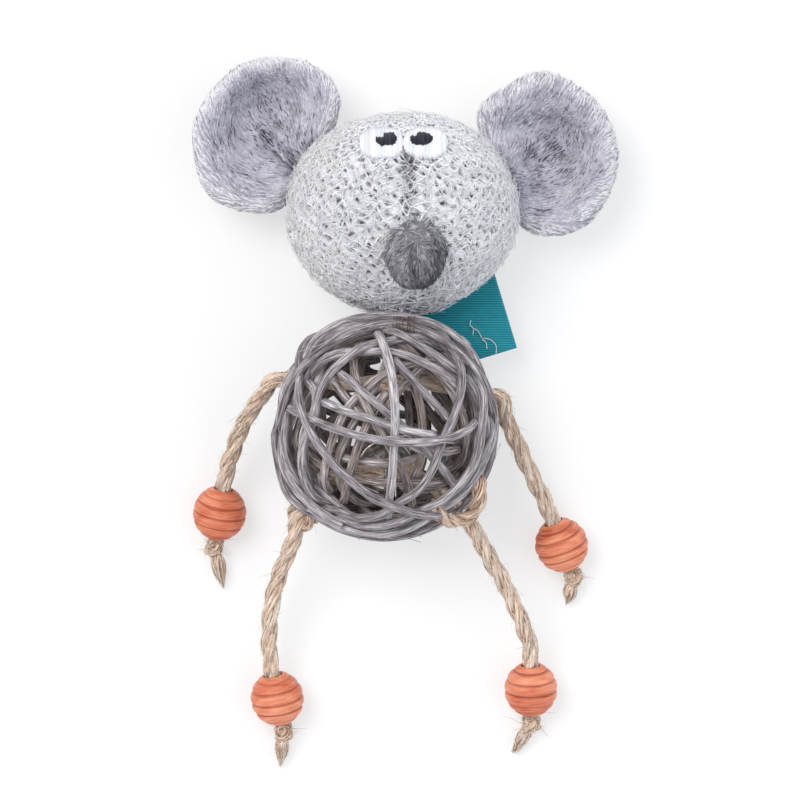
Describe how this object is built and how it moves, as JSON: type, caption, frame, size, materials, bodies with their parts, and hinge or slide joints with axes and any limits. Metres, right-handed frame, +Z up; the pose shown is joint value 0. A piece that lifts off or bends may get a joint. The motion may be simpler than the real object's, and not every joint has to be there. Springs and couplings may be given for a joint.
{
  "type": "catnip mouse toy",
  "caption": "Cat toy mouse: stuffed knitted head with plush ears on a hollow rattan ball holding a bell, with jute rope limbs and grooved wooden beads.",
  "frame": {"origin": "on the surface that the toy lies on, under the middle of the toy's box without its cords", "axes": "+Z up, out of the mouse's front as it lies on its back; +Y from the ball towards the head; +X towards the right in the picture"},
  "size_m": [0.1202, 0.1998, 0.0633],
  "materials": {
    "grey_rattan": "matt, thin grey stain over rattan grain",
    "brown_thread": "matt twisted thread",
    "orange_wood": "stained and lightly waxed",
    "jute": "matt, hairy twisted jute",
    "nickel": "polished nickel plate",
    "grey_knit": "matt, fuzzy loose knit",
    "white_filling": "soft fibre",
    "dried_catnip": "muslin pouch of dried leaf",
    "dark_plush": "short matt pile",
    "white_thread": "satin stitch, soft sheen",
    "navy_thread": "satin stitch, soft sheen",
    "grey_plush": "short brushed pile, soft sheen",
    "teal_ribbon": "woven ribbon, fine cross ribs"
  },
  "bodies": {
    "ball": {"outer_strand_a": "grey_rattan", "outer_strand_b": "grey_rattan", "second_strand_a": "grey_rattan", "second_strand_b": "grey_rattan", "third_strand": "grey_rattan", "inner_strand": "grey_rattan", "neck_tie": "brown_thread", "arm_rope_core": "jute", "leg_rope_core": "jute", "left_leg_hip_knot": "jute", "right_leg_hip_knot": "jute"},
    "head": {"head_knit_cover": "grey_knit", "head_filling": "white_filling", "catnip_pouch": "dried_catnip", "nose_cover": "dark_plush", "nose_filling": "white_filling", "left_eye_white": "white_thread", "left_pupil": "navy_thread", "right_eye_white": "white_thread", "right_pupil": "navy_thread"},
    "left_ear": {"left_ear_front_panel": "grey_plush", "left_ear_back_panel": "grey_plush", "left_ear_filling": "white_filling"},
    "right_ear": {"right_ear_front_panel": "grey_plush", "right_ear_back_panel": "grey_plush", "right_ear_filling": "white_filling"},
    "label": {"woven_label": "teal_ribbon"},
    "bell": {"bell_upper_shell": "nickel", "bell_lower_shell": "nickel"},
    "bell_pea": {"bell_pea": "nickel"},
    "left_arm": {"left_arm_rope": "jute", "left_arm_stopper_knot": "jute", "left_arm_frayed_end": "jute"},
    "left_arm_bead": {"left_arm_bead": "orange_wood"},
    "right_arm": {"right_arm_rope": "jute", "right_arm_stopper_knot": "jute", "right_arm_frayed_end": "jute"},
    "right_arm_bead": {"right_arm_bead": "orange_wood"},
    "left_leg": {"left_leg_rope": "jute", "left_leg_stopper_knot": "jute", "left_leg_frayed_end": "jute"},
    "left_leg_bead": {"left_leg_bead": "orange_wood"},
    "right_leg": {"right_leg_rope": "jute", "right_leg_stopper_knot": "jute", "right_leg_frayed_end": "jute"},
    "right_leg_bead": {"right_leg_bead": "orange_wood"}
  },
  "joints": [
    {"name": "head_nod", "type": "hinge", "parent": "ball", "child": "head", "pos_m": [-0.00316, 0.02297, 0.02781], "axis": [1, 0, 0], "range_deg": [0, 20]},
    {"name": "left_ear_fold", "type": "hinge", "parent": "head", "child": "left_ear", "pos_m": [-0.02513, 0.06499, 0.014], "axis": [0.4863, 0.8738, 0], "range_deg": [-12, 24], "stiffness_Nm_per_rad": 0.03},
    {"name": "right_ear_fold", "type": "hinge", "parent": "head", "child": "right_ear", "pos_m": [0.02522, 0.06219, 0.014], "axis": [0.3795, -0.9252, 0], "range_deg": [-12, 24], "stiffness_Nm_per_rad": 0.03},
    {"name": "label_flap", "type": "hinge", "parent": "head", "child": "label", "pos_m": [0.00523, 0.01689, 0.012], "axis": [0.289, -0.9573, 0], "range_deg": [0, 14], "stiffness_Nm_per_rad": 0.001},
    {"name": "bell_swing", "type": "hinge", "parent": "ball", "child": "bell", "pos_m": [-0.00547, -0.02081, 0.04089], "axis": [1, 0, 0], "range_deg": [-4, 25]},
    {"name": "pea_rattle", "type": "slide", "parent": "bell", "child": "bell_pea", "axis": [0, 0, 1], "range_m": [0, 0.008]},
    {"name": "left_arm_swing", "type": "hinge", "parent": "ball", "child": "left_arm", "pos_m": [-0.03717, 0.00369, 0.02859], "axis": [0, 0, -1], "range_deg": [-15, 80]},
    {"name": "left_arm_bead_spin", "type": "hinge", "parent": "left_arm", "child": "left_arm_bead", "pos_m": [-0.05257, -0.03361, 0.00768], "axis": [-0.1591, -0.9373, -0.3101], "continuous": true},
    {"name": "right_arm_swing", "type": "hinge", "parent": "ball", "child": "right_arm", "pos_m": [0.02683, -0.0009, 0.02359], "axis": [0, 0, 1], "range_deg": [-15, 80]},
    {"name": "right_arm_bead_spin", "type": "hinge", "parent": "right_arm", "child": "right_arm_bead", "pos_m": [0.04413, -0.0426, 0.00768], "axis": [0.3426, -0.8866, -0.3106], "continuous": true},
    {"name": "left_leg_lift", "type": "hinge", "parent": "ball", "child": "left_leg", "pos_m": [-0.02997, -0.03411, 0.02759], "axis": [-0.9927, 0.1205, 0], "range_deg": [0, 60]},
    {"name": "left_leg_bead_spin", "type": "hinge", "parent": "left_leg", "child": "left_leg_bead", "pos_m": [-0.03627, -0.086, 0.00768], "axis": [0.1709, -0.9353, -0.3098], "continuous": true},
    {"name": "right_leg_lift", "type": "hinge", "parent": "ball", "child": "right_leg", "pos_m": [0.01783, -0.03571, 0.03309], "axis": [-0.9382, -0.3461, 0], "range_deg": [0, 60]},
    {"name": "right_leg_bead_spin", "type": "hinge", "parent": "right_leg", "child": "right_leg_bead", "pos_m": [0.03543, -0.08341, 0.00768], "axis": [0.019, -0.9506, -0.3099], "continuous": true}
  ]
}
